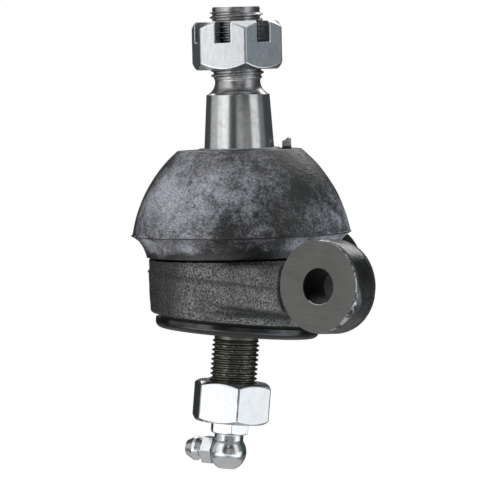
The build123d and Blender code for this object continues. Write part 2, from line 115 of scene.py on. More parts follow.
def noise3(points, scale, seed):
    """Smooth gradient noise from -1 to 1 at these points, in cells of this size in millimetres."""
    p = np.asarray(points, float) / scale + seed * 17.31
    cell = np.floor(p).astype(np.int64)
    f = p - cell
    u = f * f * f * (f * (f * 6 - 15) + 10)
    total = np.zeros(len(p))
    for dx in (0, 1):
        for dy in (0, 1):
            for dz in (0, 1):
                h = (cell[:, 0] + dx) * 73856093 ^ (cell[:, 1] + dy) * 19349663 ^ (cell[:, 2] + dz) * 83492791
                h = (h ^ (h >> 13)) * 1274126177
                g = np.stack([(h >> s & 1023) / 511.5 - 1 for s in (3, 11, 19)], axis=1)
                dot = (g * (f - (dx, dy, dz))).sum(axis=1)
                wx = u[:, 0] if dx else 1 - u[:, 0]
                wy = u[:, 1] if dy else 1 - u[:, 1]
                wz = u[:, 2] if dz else 1 - u[:, 2]
                total += dot * wx * wy * wz
    return total


def smoothstep(low, high, value):
    """Rises smoothly from 0 at low to 1 at high, or falls where low is the greater."""
    t = np.clip((value - low) / (high - low), 0, 1)
    return t * t * (3 - 2 * t)


def bell(distance, width):
    """1 at no distance, falling off on both sides within about this width."""
    return np.exp(-((distance / width) ** 2))


def points_of(mesh):
    """The mesh's vertices as an array in millimetres."""
    co = np.empty(len(mesh.vertices) * 3)
    mesh.vertices.foreach_get("co", co)
    return co.reshape(-1, 3) / MM


def set_points(mesh, points):
    """Moves the mesh's vertices to these points in millimetres."""
    mesh.vertices.foreach_set("co", (np.asarray(points) * MM).ravel())
    mesh.update()


def normals_of(mesh):
    """The normals of the mesh's vertices."""
    n = np.empty(len(mesh.vertices) * 3)
    mesh.vertices.foreach_get("normal", n)
    return n.reshape(-1, 3)


def into(matrix, points):
    """Points of the part's frame in a local frame."""
    m = np.array(matrix.inverted())
    return points @ m[:3, :3].T + m[:3, 3]


def out_of(matrix, points):
    """Points of a local frame in the part's frame."""
    m = np.array(matrix)
    return points @ m[:3, :3].T + m[:3, 3]


def new_object(name, mesh, sharp_angle=None):
    """A smooth-shaded object in the scene, with any edges above this angle in degrees kept sharp."""
    obj = bpy.data.objects.new(name, mesh)
    bpy.context.scene.collection.objects.link(obj)
    mesh.shade_smooth()
    if sharp_angle:
        mesh.set_sharp_from_angle(angle=math.radians(sharp_angle))
    return obj


def place(obj, body, slot, *nodes):
    """Puts a piece on its body, in the place of these CAD nodes. slot is not used."""
    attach(obj, body)
    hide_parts(*nodes)


def lathe(name, matrix, profile, segments, shape=None, closed=False, sharp_angle=35):
    """Turns a profile of (radius, height) points about the local z axis. shape moves the grid's points before
    the mesh is made: it gets arrays of radius, height, angle and the profile point's number, and returns the
    first three."""
    profile = np.array(profile, float)
    count = len(profile)
    angle = np.arange(segments) * (2 * math.pi / segments)
    r, a = np.meshgrid(profile[:, 0], angle, indexing="ij")
    z = np.meshgrid(profile[:, 1], angle, indexing="ij")[0]
    number = np.meshgrid(np.arange(count), angle, indexing="ij")[0]
    if shape:
        r, z, a = shape(r, z, a, number)
    points = np.stack([r * np.cos(a), r * np.sin(a), z], axis=-1).reshape(-1, 3)
    faces = []
    rows = count if closed else count - 1
    for i in range(rows):
        j = (i + 1) % count
        for k in range(segments):
            n = (k + 1) % segments
            faces.append((i * segments + k, i * segments + n, j * segments + n, j * segments + k))
    if not closed:
        faces.append(tuple(range(segments))[::-1])
        faces.append(tuple((count - 1) * segments + k for k in range(segments)))
    mesh = bpy.data.meshes.new(name)
    mesh.from_pydata((out_of(matrix, points) * MM).tolist(), [], faces)
    bm = bmesh.new()
    bm.from_mesh(mesh)
    bmesh.ops.recalc_face_normals(bm, faces=bm.faces)
    bm.to_mesh(mesh)
    bm.free()
    return new_object(name, mesh, sharp_angle)


def arc_points(start, middle, end, count):
    """Points on the circle through three profile points, from start to end."""
    (ax, ay), (bx, by), (cx, cy) = start, middle, end
    d = 2 * (ax * (by - cy) + bx * (cy - ay) + cx * (ay - by))
    a2, b2, c2 = ax**2 + ay**2, bx**2 + by**2, cx**2 + cy**2
    ux = (a2 * (by - cy) + b2 * (cy - ay) + c2 * (ay - by)) / d
    uy = (a2 * (cx - bx) + b2 * (ax - cx) + c2 * (bx - ax)) / d
    first = math.atan2(ay - uy, ax - ux)
    last = math.atan2(cy - uy, cx - ux)
    radius = math.hypot(ax - ux, ay - uy)
    turn = (last - first + math.pi) % (2 * math.pi) - math.pi
    return [
        (ux + radius * math.cos(first + turn * i / count), uy + radius * math.sin(first + turn * i / count))
        for i in range(count + 1)
    ]


def rounded(corners, radius, steps=4):
    """An open profile whose inner corners are rounded to this radius, or less where a side is short."""
    points = [Vector(corners[0])]
    for before, corner, after in zip(corners, corners[1:], corners[2:]):
        corner = Vector(corner)
        to_before, to_after = Vector(before) - corner, Vector(after) - corner
        half = to_before.angle(to_after) / 2
        reach = min(radius / math.tan(half), to_before.length * 0.45, to_after.length * 0.45)
        start = corner + to_before.normalized() * reach
        end = corner + to_after.normalized() * reach
        for i in range(steps + 1):
            t = i / steps
            points.append(start * (1 - t) ** 2 + corner * 2 * t * (1 - t) + end * t**2)
    points.append(Vector(corners[-1]))
    return [tuple(p) for p in points]


def divided(profile, step):
    """The profile with its long runs cut into pieces of about this length."""
    points = [profile[0]]
    for a, b in zip(profile, profile[1:]):
        parts = max(1, round(math.dist(a, b) / step))
        for i in range(1, parts + 1):
            points.append((a[0] + (b[0] - a[0]) * i / parts, a[1] + (b[1] - a[1]) * i / parts))
    return points


def distinct(profile):
    """The profile without points that repeat the one before."""
    return profile[:1] + [b for a, b in zip(profile, profile[1:]) if math.dist(a, b) > 1e-4]


def remeshed(name, node, voxel, smoothing):
    """A fine mesh of a CAD node's shape with its edges eased, as a new object."""
    source = bpy.data.objects.new(name + "_source", frame["nodes"][node].data.copy())
    bpy.context.scene.collection.objects.link(source)
    remesh = source.modifiers.new("remesh", "REMESH")
    remesh.mode = "VOXEL"
    remesh.voxel_size = voxel * MM
    smooth = source.modifiers.new("smooth", "SMOOTH")
    smooth.factor = 0.5
    smooth.iterations = smoothing
    graph = bpy.context.evaluated_depsgraph_get()
    mesh = bpy.data.meshes.new_from_object(source.evaluated_get(graph))
    mesh.materials.clear()
    mesh.name = name
    bpy.data.objects.remove(source)
    return new_object(name, mesh)


# Materials


class Surface:
    """A node material on object coordinates in millimetres."""

    def __init__(self, name):
        self.material = bpy.data.materials.new(name)
        self.material.use_nodes = True
        self.tree = self.material.node_tree
        self.shader = self.tree.nodes["Principled BSDF"]
        coordinates = self.tree.nodes.new("ShaderNodeTexCoord")
        mapping = self.tree.nodes.new("ShaderNodeMapping")
        mapping.inputs["Scale"].default_value = (1 / MM, 1 / MM, 1 / MM)
        self.tree.links.new(coordinates.outputs["Object"], mapping.inputs["Vector"])
        self.place = mapping.outputs["Vector"]

    def node(self, kind, inputs=None, **settings):
        n = self.tree.nodes.new(kind)
        for key, value in settings.items():
            setattr(n, key, value)
        for key, value in (inputs or {}).items():
            if isinstance(value, bpy.types.NodeSocket):
                self.tree.links.new(value, n.inputs[key])
            else:
                n.inputs[key].default_value = value
        return n

    def set(self, **values):
        """Sets the shader's inputs, with an underscore for each space in a name."""
        for key, value in values.items():
            socket = self.shader.inputs[key.replace("_", " ")]
            if isinstance(value, bpy.types.NodeSocket):
                self.tree.links.new(value, socket)
            else:
                socket.default_value = value

    def stretched(self, x, y, z, turn=(0, 0, 0)):
        """The place, turned and then scaled along each axis."""
        m = self.node("ShaderNodeMapping", {"Vector": self.place, "Scale": (x, y, z), "Rotation": turn})
        return m.outputs["Vector"]

    def vector(self, operation, a, b=(0, 0, 0)):
        return self.node("ShaderNodeVectorMath", {0: a, 1: tuple(b)}, operation=operation)

    def dot(self, vector, direction):
        return self.vector("DOT_PRODUCT", vector, direction).outputs["Value"]

    def along(self, direction, origin=(0, 0, 0)):
        """How far a point lies along a direction, in millimetres."""
        return self.dot(self.vector("SUBTRACT", self.place, origin).outputs["Vector"], direction)

    def fade(self, value, low, high, start=0.0, end=1.0):
        """Goes from start to end while the value goes from low to high, and stays level beyond them."""
        inputs = {"Value": value, 1: low, 2: high, 3: start, 4: end}
        return self.node("ShaderNodeMapRange", inputs).outputs["Result"]

    def noise(self, size, detail, roughness, distortion=0.0, vector=None):
        """Noise from 0 to 1 in cells of this size in millimetres."""
        n = self.node(
            "ShaderNodeTexNoise",
            {
                "Vector": vector or self.place,
                "Scale": 1 / size,
                "Detail": detail,
                "Roughness": roughness,
                "Distortion": distortion,
            },
        )
        return n.outputs["Fac"]

    def ramp(self, value, *stops):
        """Maps a number to a number or a colour by (position, result) stops."""
        n = self.node("ShaderNodeValToRGB", {"Fac": value})
        elements = n.color_ramp.elements
        while len(elements) < len(stops):
            elements.new(0.5)
        for element, (position, result) in zip(elements, stops):
            element.position = position
            element.color = (*result, 1) if isinstance(result, tuple) else (result, result, result, 1)
        return n.outputs["Color"]

    def math(self, operation, a, b=0.0):
        return self.node("ShaderNodeMath", {0: a, 1: b}, operation=operation).outputs["Value"]

    def product(self, first, *others):
        for other in others:
            first = self.math("MULTIPLY", first, other)
        return first

    def total(self, first, *others):
        for other in others:
            first = self.math("ADD", first, other)
        return first

    def inverse(self, value):
        """One less the value."""
        return self.math("SUBTRACT", 1.0, value)

    def mix(self, factor, a, b):
        n = self.node("ShaderNodeMix", data_type="RGBA")
        for index, value in ((0, factor), (6, a), (7, b)):
            if isinstance(value, bpy.types.NodeSocket):
                self.tree.links.new(value, n.inputs[index])
            else:
                n.inputs[index].default_value = (*value, 1) if isinstance(value, tuple) else value
        return n.outputs[2]

    def bump(self, height, distance, strength, normal=None):
        """A normal tilted by a height from 0 to 1, which stands for this many millimetres."""
        inputs = {"Height": height, "Distance": distance * MM, "Strength": strength}
        if normal:
            inputs["Normal"] = normal
        return self.node("ShaderNodeBump", inputs).outputs["Normal"]


def forged_paint():
    """Black paint over the forging's grain, worn to bare steel along the edges of the machined faces, with
    painted highlights on the grain and painted shade where they are left out.
    """
    s = Surface("housing_paint")
    grain = s.noise(0.45, 1.5, 0.6)
    coarse = s.noise(1.5, 3, 0.6)
    lumps = s.noise(3.4, 3, 0.55)
    wear = s.noise(6.0, 4, 0.6, 0.4)

    # Where a point lies on the front arm, with the rear half folded over onto it
    mirrored = s.vector("MULTIPLY", s.place, (1, -1, 1)).outputs["Vector"]
    behind = s.math("GREATER_THAN", s.along((0, 1, 0)), 0.0)
    front = s.node("ShaderNodeMix", {0: behind, 4: s.place, 5: mirrored}, data_type="VECTOR").outputs[1]
    along_x = s.along((1, 0, 0))
    along_arm, height, offset = (s.dot(front, axis) for axis in arm_matrix(-1).to_3x3().transposed())
    reach = s.math("SUBTRACT", along_arm, EAR_REACH)
    rise = s.math("SUBTRACT", height, EAR_HEIGHT)
    from_axis = s.math("SQRT", s.total(s.product(rise, rise), s.product(reach, reach)))
    face_middle = ear_matrix(-1) @ Vector((0, 0, EAR_FACE_OFFSET))
    from_face = s.vector("DISTANCE", front, face_middle).outputs["Value"]

    # Bare steel along the edge of the machined face
    edge = s.product(s.fade(from_face, 11.95, 11.8), s.fade(from_face, 11.2, 11.3))
    edge = s.product(edge, s.math("GREATER_THAN", offset, EAR_FACE_OFFSET - 2))
    bare = s.product(edge, s.ramp(coarse, (0.46, 0.0), (0.52, 1.0)))

    # The crescent where the flash was trimmed off the rim, speckled grey
    angle = s.math("SUBTRACT", s.math("ARCTAN2", rise, reach), TRIM_MIDDLE)
    turned = s.math("DIVIDE", angle, TRIM_REACH)
    window = s.math("MAXIMUM", s.inverse(s.product(turned, turned)), 0.0)
    slope = s.product(s.math("SUBTRACT", EAR_FACE_OFFSET, offset), TRIM_SLOPE)
    ragged = s.product(s.math("SUBTRACT", coarse, 0.5), 0.3)
    depth = s.total(s.math("SUBTRACT", s.product(window, TRIM_DEPTH), slope), ragged)
    trimmed = s.product(
        s.fade(depth, 0.02, 0.08),
        s.math("GREATER_THAN", from_face, 10.4),
        s.math("LESS_THAN", from_face, 13.5),
    )
    flecks = s.product(s.ramp(grain, (0.4, 0.35), (0.6, 1.0)), s.ramp(coarse, (0.45, 0.15), (0.55, 1.0)))

    # The forging's rough skin, apart from the ears and the space between the arms. Its painted highlights are
    # left out between the arms and thinned on the -X side, as painted shade
    between = s.product(s.fade(along_x, 16.5, 22.0), s.fade(offset, 18.5, 16.5))
    open_skin = s.inverse(between)
    rough = s.fade(from_axis, 12.9, 15.5, 0.12, 1.0)
    # Painted shade: fewer painted highlights on the -X side and none between the arms
    painted_side_shade = s.product(s.fade(along_x, -18.5, -13.0, 0.15, 1.0), open_skin)

    # Painted shade, where the painted highlights are left out: under the arm, under the parting line and
    # under the boot
    shade_under_arm = s.ramp(s.fade(height, 4.3, 9.8), (0.15, 0.0), (0.3, 1.0), (0.62, 1.0), (0.9, 0.0))
    shade_under_arm = s.product(s.fade(along_arm, 7, 15), shade_under_arm)
    seam_shade = s.ramp(s.fade(height, 12.6, 15.6), (0.25, 0.0), (0.55, 0.65), (0.7, 0.65), (0.8, 0.0))
    shade_under_boot = s.fade(height, 17.0, 19.5, 0.0, 0.65)
    painted_shade = s.math("MAXIMUM", s.math("MAXIMUM", shade_under_arm, seam_shade), shade_under_boot)

    # Painted highlights: light grey on the grain's crests, in place of the lamps' glints on the glossy paint
    painted_highlights = s.product(
        s.ramp(grain, (0.38, 0.0), (0.66, 1.0)),
        rough,
        painted_side_shade,
        s.inverse(painted_shade),
        s.ramp(wear, (0.38, 0.6), (0.6, 1.0)),
    )
    black = s.mix(s.ramp(wear, (0.42, 0.0), (0.72, 1.0)), (0.006, 0.006, 0.006), (0.014, 0.014, 0.014))
    black = s.mix(painted_highlights, black, (0.31, 0.31, 0.305))
    black = s.mix(s.product(trimmed, flecks), black, (0.062, 0.068, 0.077))
    texture = s.product(rough, open_skin)
    lumpy = s.bump(s.product(lumps, texture), 0.8, 0.8)
    s.set(
        Base_Color=s.mix(bare, black, (0.5, 0.5, 0.5)),
        Metallic=bare,
        Roughness=s.math("MAXIMUM", s.ramp(coarse, (0.3, 0.17), (0.7, 0.3)), between),
        Specular_IOR_Level=0.6,
        Normal=s.bump(s.product(grain, texture), 0.5, 1.0, lumpy),
    )
    return s.material


def machined_steel():
    """The cut faces of the ears, milled along the arm."""
    s = Surface("ear_machined")
    lines = s.noise(0.32, 3, 0.6, vector=s.stretched(0.04, 0.04, 1.0))
    blotch = s.noise(5.0, 3, 0.5)
    tone = s.mix(s.ramp(blotch, (0.35, 0.0), (0.7, 1.0)), (0.105, 0.104, 0.099), (0.087, 0.086, 0.082))
    s.set(
        Base_Color=s.mix(s.ramp(lines, (0.35, 0.0), (0.68, 0.6)), tone, (0.137, 0.136, 0.13)),
        Metallic=1.0,
        Roughness=s.ramp(lines, (0.3, 0.42), (0.7, 0.5)),
        Normal=s.bump(lines, 0.02, 0.4),
    )
    return s.material


def bore_steel():
    """The bolt hole, drilled, coloured near black as painted shade inside it, with bright bare metal on the
    lower half of its mouth as a painted glint.
    """
    s = Surface("ear_bore")
    rings = s.noise(0.5, 2, 0.5)
    folded = s.vector("ABSOLUTE", s.place).outputs["Vector"]
    offset = s.dot(folded, (-math.sin(EAR_SPLAY), math.cos(EAR_SPLAY), 0))
    lip = s.fade(offset, EAR_FACE_OFFSET - HOLE_CHAMFER - 0.02, EAR_FACE_OFFSET - HOLE_CHAMFER + 0.03)
    under = s.fade(s.along((0, 0, 1), (0, 0, EAR_HEIGHT)), -3.6, -4.0)
    # Painted glint: bright bare metal only on the lower half of the mouth, while the near black bore is
    # painted shade
    painted_glint = s.product(lip, under)
    s.set(
        Base_Color=s.mix(painted_glint, s.mix(rings, (0.003, 0.003, 0.003), (0.008, 0.008, 0.0075)), (0.6, 0.6, 0.6)),
        Metallic=painted_glint,
        Roughness=s.ramp(rings, (0.3, 0.5), (0.7, 0.6)),
        Specular_IOR_Level=0.06,
        Normal=s.bump(rings, 0.02, 0.3),
    )
    return s.material


def dusty_rubber():
    """Black moulded rubber with grey dust, thick on the -X side and the flank and rubbed off elsewhere, with
    painted shade near its lip and along its flash and painted light on its nub.
    """
    s = Surface("boot_rubber")
    smears = s.noise(10.0, 4, 0.6, 0.8)
    patches = s.noise(3.2, 4, 0.65, 0.6)
    specks = s.noise(0.6, 4, 0.8, 0.8)
    pocks = s.noise(0.7, 2, 0.5)
    swirls = s.node(
        "ShaderNodeTexWave",
        {"Vector": s.place, "Scale": 0.3, "Distortion": 34.0, "Detail": 5.0, "Detail Scale": 0.5},
        wave_type="RINGS",
    ).outputs["Fac"]
    height = s.along(tuple(SOCKET_AXIS), tuple(BALL_CENTRE))
    side = s.along((-0.93, -0.36, 0.0), (0, 0, 30))

    # How much dust lies round the boot, from its +X side to its -X side, and up it, with painted shade near
    # the lip and painted light on the nub
    bias = s.ramp(
        s.fade(side, -30.0, 30.0),
        (0.05, 0.46),
        (0.15, 0.42),
        (0.25, 0.37),
        (0.35, 0.38),
        (0.5, 0.41),
        (0.67, 0.48),
        (0.8, 0.59),
        (0.93, 0.71),
    )
    low = s.fade(height, 15.0, 9.0, 0.0, -0.12)
    right = s.product(s.fade(side, 2.0, -8.0), s.fade(height, 26.0, 12.0, -0.22, 0.2))
    rubbed = s.fade(s.along((0, 1, 0)), -11.0, -2.0, 0.0, -0.4)
    rubbed = s.product(rubbed, s.fade(s.along((-1, 0, 0)), 6.0, 14.0))
    flank = s.product(s.fade(height, 7.6, 7.0), s.fade(side, -5.0, 18.0, 0.17, 0.02))
    # Painted shade: less dust near the lip darkens the boot's lower edge
    seam_shade = s.fade(height, 4.2, 1.8, 0.0, -0.4)
    # More dust on the nub, partly painted light that makes it lighter than its lighting would
    top = s.fade(height, 30.2, 31.2)
    zones = s.total(flank, seam_shade, top, low, right, rubbed, bias)

    # Grains of dust, parted by scratches and by a band of painted shade along the flash over the rim
    amount = s.total(s.product(smears, 0.8), s.product(patches, 0.4), s.product(specks, 0.9), zones)
    amount = s.math("SUBTRACT", amount, 1.05)
    dust = s.ramp(amount, (0.36, 0.0), (0.46, 0.18), (0.54, 0.42), (0.72, 1.0))
    lines = s.ramp(swirls, (0.0, 0.45), (0.1, 1.0))
    for size, depth in ((3.0, 0.25), (1.5, 0.4)):
        contour = s.noise(size, 2, 0.5, 1.5)
        lines = s.product(lines, s.ramp(contour, (0.478, 1.0), (0.5, depth), (0.522, 1.0)))
    # Painted shade: no dust in a band along the flash, where its shadow falls
    flash_shade = s.ramp(s.fade(height, 6.9, 7.9), (0.3, 1.0), (0.4, 0.1), (0.65, 0.1), (0.8, 1.0))
    cover = s.product(dust, lines, flash_shade)
    s.set(
        Base_Color=s.mix(cover, (0.014, 0.0145, 0.0135), (0.45, 0.458, 0.51)),
        Roughness=s.ramp(cover, (0.0, 0.4), (1.0, 0.8)),
        Specular_IOR_Level=0.5,
        Normal=s.bump(pocks, 0.08, 0.8, s.bump(patches, 0.4, 0.7)),
    )
    return s.material


def ground_steel():
    """The stud, ground round its leaning axis and rubbed along it; its thread is duller."""
    s = Surface("stud_steel")
    tilt = math.atan2(-SOCKET_AXIS.x, SOCKET_AXIS.z)
    rings = s.noise(0.12, 2, 0.6, vector=s.stretched(0.02, 0.02, 1.0, (0, -tilt, 0)))
    streaks = s.noise(0.45, 3, 0.6, vector=s.stretched(1.0, 1.0, 0.05, (0, -tilt, 0)))
    stain = s.noise(2.5, 5, 0.7, 0.5)
    height = s.along(tuple(SOCKET_AXIS), tuple(BALL_CENTRE))
    thread = s.fade(height, 44.7, 46.5)
    steel = s.mix(s.ramp(stain, (0.45, 0.0), (0.8, 1.0)), (0.58, 0.58, 0.585), (0.44, 0.435, 0.425))
    steel = s.mix(s.ramp(streaks, (0.5, 0.0), (0.8, 0.5)), steel, (0.4, 0.4, 0.4))
    s.set(
        Base_Color=s.mix(thread, steel, (0.4, 0.39, 0.395)),
        Metallic=1.0,
        Roughness=s.total(s.ramp(stain, (0.3, 0.18), (0.75, 0.24)), s.product(thread, 0.08)),
        Normal=s.bump(rings, 0.004, 0.25),
    )
    return s.material


def zinc_plate(name, brushing):
    """Bright plated steel: faint vertical draw lines, small pits and a bluish cast."""
    s = Surface(name)
    lines = s.noise(0.3, 3, 0.65, vector=s.stretched(1.0, 1.0, 0.06))
    pits = s.noise(0.7, 4, 0.6)
    stain = s.noise(4.0, 5, 0.65, 0.4)
    plate = s.mix(s.ramp(stain, (0.4, 0.0), (0.7, 1.0)), (0.63, 0.642, 0.655), (0.565, 0.58, 0.598))
    s.set(
        Base_Color=s.mix(s.ramp(lines, (0.45, 0.0), (0.7, brushing)), plate, (0.475, 0.488, 0.505)),
        Metallic=1.0,
        Roughness=s.ramp(pits, (0.3, 0.17), (0.7, 0.25)),
        Normal=s.bump(pits, 0.005, 0.25, s.bump(lines, 0.006, brushing)),
    )
    return s.material


def phosphate():
    """Dark olive phosphate on the stem, with sparks where the crests of the thread are rubbed bare."""
    s = Surface("stem_phosphate")
    grain = s.noise(0.4, 4, 0.65)
    patch = s.noise(3.0, 3, 0.6)
    rubs = s.noise(0.9, 4, 0.7)
    radius = s.vector("LENGTH", s.stretched(1, 1, 0)).outputs["Value"]
    crest = s.fade(radius, STEM_RADIUS - 0.2, STEM_RADIUS)
    bare = s.product(crest, s.ramp(rubs, (0.5, 0.0), (0.6, 0.8)))
    dark = s.mix(s.ramp(patch, (0.35, 0.0), (0.7, 1.0)), (0.1, 0.096, 0.078), (0.16, 0.153, 0.128))
    s.set(
        Base_Color=s.mix(bare, dark, (0.5, 0.49, 0.46)),
        Metallic=0.85,
        Roughness=s.ramp(grain, (0.3, 0.24), (0.7, 0.42)),
        Normal=s.bump(grain, 0.05, 0.6),
    )
    return s.material


def satin_paint():
    """The cover's even black paint, with a little dust."""
    s = Surface("cover_paint")
    grain = s.noise(0.8, 4, 0.6)
    dust = s.noise(6.0, 4, 0.6, 0.5)
    dusty = s.ramp(dust, (0.45, 0.0), (0.75, 1.0))
    s.set(
        Base_Color=s.mix(dusty, (0.004, 0.004, 0.004), (0.012, 0.012, 0.0125)),
        Roughness=s.ramp(dust, (0.3, 0.14), (0.7, 0.24)),
        Specular_IOR_Level=0.6,
        Normal=s.bump(grain, 0.05, 0.35),
    )
    return s.material


def plain(name, colour, darker, metallic, roughness, size, depth):
    """A finish for the inner pieces: two close colours in cells of this size, and a light texture."""
    s = Surface(name)
    grain = s.noise(size, 4, 0.6)
    s.set(
        Base_Color=s.mix(s.ramp(grain, (0.35, 0.0), (0.7, 1.0)), colour, darker),
        Metallic=metallic,
        Roughness=s.ramp(grain, (0.3, roughness * 0.85), (0.7, roughness * 1.15)),
        Normal=s.bump(grain, depth, 0.4),
    )
    return s.material


paint = forged_paint()
machined = machined_steel()
bore = bore_steel()
rubber = dusty_rubber()
stud_steel = ground_steel()
zinc = zinc_plate("nut_zinc", 0.5)
fitting = zinc_plate("fitting_zinc", 0.1)
stem_finish = phosphate()
cover_finish = satin_paint()
seal_rubber = plain("seal_rubber", (0.02, 0.02, 0.02), (0.03, 0.03, 0.031), 0.0, 0.7, 0.8, 0.03)
ring_steel = plain("ring_steel", (0.5, 0.5, 0.5), (0.42, 0.42, 0.42), 1.0, 0.25, 1.5, 0.01)
liner_polymer = plain("liner_polymer", (0.82, 0.8, 0.72), (0.74, 0.72, 0.64), 0.0, 0.45, 2.0, 0.02)
spring_steel = plain("spring_steel", (0.3, 0.3, 0.32), (0.2, 0.2, 0.21), 1.0, 0.3, 0.8, 0.01)


# Threaded pieces


def thread_groove(height, angle, pitch, start=0.0):
    """How deep a right-hand thread is cut at each point, from 0 on the crest to 1 at the root."""
    phase = np.mod(height / pitch - angle / (2 * math.pi) + start, 1)
    from_crest = np.abs(phase - 0.5) * 2
    return np.clip((from_crest - 0.14) / 0.64, 0, 1)


def thread_rows(radius, start, end):
    """Profile points close enough together to carry a thread."""
    step = math.copysign(THREAD_STEP, end - start)
    return [(radius, start + step * i) for i in range(int((end - start) / step))]


# The stud, by heights from the ball's centre: pivot, swivel flange, neck and taper, waist, thread and end
STUD_THREAD_START, STUD_THREAD_END = 49.0, 66.9
STUD_THREAD_RADIUS = 7.14
STUD_THREAD_TURN = -0.32
PIVOT_TO_TAPER = rounded(
    [
        (0.05, -10.0),
        (4.5, -8.93),
        (8.6, -5.1),
        (9.1, -4.1),
        (12.5, -4.1),
        (12.5, -1.1),
        (7.5, -1.1),
        (7.5, 19.0),
        (8.5, 23.0),
        (9.575, 26.8),
        (8.45, 44.8),
    ],
    0.5,
)[:-1]
TAPER_EDGE = [(8.47, 44.5), (8.4, 44.72), (8.2, 44.86)]
WAIST = arc_points((8.0, 44.92), (6.72, 46.1), (6.1, 48.7), 14)
STUD_END = [(6.35, 66.95), (6.38, 67.3), (6.36, 67.85), (6.2, 68.1), (5.95, 68.2), (3.0, 68.2), (0.05, 68.2)]
STUD_THREAD = thread_rows(STUD_THREAD_RADIUS, STUD_THREAD_START, STUD_THREAD_END)
STUD_PROFILE = distinct(PIVOT_TO_TAPER + TAPER_EDGE + WAIST + STUD_THREAD + STUD_END)


def stud_shape(r, z, a, number):
    """Cuts the thread, which runs out into the waist."""
    depth = THREAD_DEPTH_SHARE * STUD_PITCH
    cut = thread_groove(z, a, STUD_PITCH, STUD_THREAD_TURN) * depth
    run_in = smoothstep(STUD_THREAD_START - 0.2, STUD_THREAD_START + 0.9, z)
    base = STUD_THREAD_RADIUS - depth * 1.08
    turned = base + (r - cut - base) * run_in
    threaded = (z >= STUD_THREAD_START - 0.01) & (z < STUD_THREAD_END) & (r > 5.9)
    return np.where(threaded, np.minimum(r, np.maximum(turned, base)), r), z, a


stud = lathe("stud", SOCKET, STUD_PROFILE, THREAD_SEGMENTS, stud_shape)
stud.data.materials.append(stud_steel)
place(stud, "stud_body", "stud_steel", "ball_stud")

# The stem, headed inside the cover and drilled for grease; its thread runs out below the cover
STEM_END = -24.0
STEM_THREAD_TOP = -1.7
STEM_NECK_RADIUS = 5.9
STEM_PROFILE = [(1.5, 5.0), (8.8, 5.0), (9.0, 4.8), (9.0, 2.75), (STEM_RADIUS, 2.75), (STEM_RADIUS, 0.2)]
STEM_PROFILE += [(6.3, -0.1), (5.95, -0.3), (STEM_NECK_RADIUS, -1.4)]
STEM_PROFILE += thread_rows(STEM_RADIUS, STEM_THREAD_TOP, STEM_END + 0.6)
STEM_PROFILE += [(6.3, STEM_END + 0.6), (5.75, STEM_END), (3.25, STEM_END), (3.25, -16.7), (1.5, -16.7)]


def stem_shape(r, z, a, number):
    """Cuts the thread, which runs out into the neck below the cover."""
    depth = THREAD_DEPTH_SHARE * STEM_PITCH
    cut = thread_groove(z, a, STEM_PITCH) * depth
    run_in = smoothstep(STEM_THREAD_TOP + 0.1, STEM_THREAD_TOP - 0.8, z)
    turned = STEM_NECK_RADIUS + (STEM_RADIUS - cut - STEM_NECK_RADIUS) * run_in
    threaded = (z <= STEM_THREAD_TOP + 0.01) & (r > 5.7)
    return np.where(threaded, np.minimum(r, np.maximum(turned, STEM_RADIUS - depth)), r), z, a


stem = lathe("stem", STEM, STEM_PROFILE, THREAD_SEGMENTS, stem_shape, closed=True)
stem.data.materials.append(stem_finish)
place(stem, "housing_body", "stem_phosphate", "threaded_stem")


# Nuts: the CAD shape with its edges eased and the corners turned down a little

NUT_VOXEL = 0.14


def eased_nut(name, node, matrix, corner_radius, seed, smoothing):
    """A nut with its edges eased, its corners turned down to about this radius and shallow dents all over."""
    obj = remeshed(name, node, NUT_VOXEL, smoothing)
    local = into(matrix, points_of(obj.data))
    radius = np.hypot(local[:, 0], local[:, 1])
    outer = radius > corner_radius * 0.8
    limit = corner_radius + 0.12 * noise3(local, 2.5, seed)
    over = np.where(outer, np.maximum(radius - limit, 0), 0)
    scale = (radius - over * 0.92) / np.maximum(radius, 1e-6)
    local[:, 0] *= scale
    local[:, 1] *= scale
    dents = 0.004 * noise3(local, 1.6, seed + 1) + 0.012 * noise3(local, 4.5, seed + 2)
    set_points(obj.data, out_of(matrix, local))
    set_points(obj.data, points_of(obj.data) + normals_of(obj.data) * dents[:, None])
    return obj


castle = eased_nut("castle_nut_plated", "castle_nut", SOCKET, 12.68, 3, 10)
castle.data.materials.append(zinc)
place(castle, "stud_body", "nut_zinc", "castle_nut")

lower_nut = eased_nut("stem_nut_plated", "stem_nut", STEM, 10.86, 5, 7)
lower_nut.data.materials.append(zinc)
place(lower_nut, "housing_body", "nut_zinc", "stem_nut")

elbow = remeshed("grease_elbow_plated", "grease_elbow", 0.11, 4)
elbow.data.materials.append(fitting)
place(elbow, "housing_body", "fitting_zinc", "grease_elbow")

nipple = remeshed("grease_nipple_plated", "grease_nipple", 0.08, 4)
nipple.data.materials.append(fitting)
place(nipple, "housing_body", "fitting_zinc", "grease_nipple")


# Housing: the forging, roughened, with its parting line, and then machined

ARMS = (-1, 1)
WALL_RADIUS = 23.4
WALL_FOOT = 3.7
WALL_DRAFT = math.radians(7.5)
ARM_FRONT = 24.13

# What the dies left on it: the hollow under an arm, the groove beside an ear, the parting line
HOLLOW_DEPTH, HOLLOW_HEIGHT, HOLLOW_WIDTH = 1.2, 7.0, 1.3
GROOVE_DEPTH, GROOVE_RADIUS, GROOVE_WIDTH = 0.6, 12.75, 0.45
PARTING_HEIGHT = 14.6
PARTING_RISE = 1.1
PARTING_RIDGE = 0.42
PARTING_STEP = 0.28
MACHINING_STOCK = 0.6


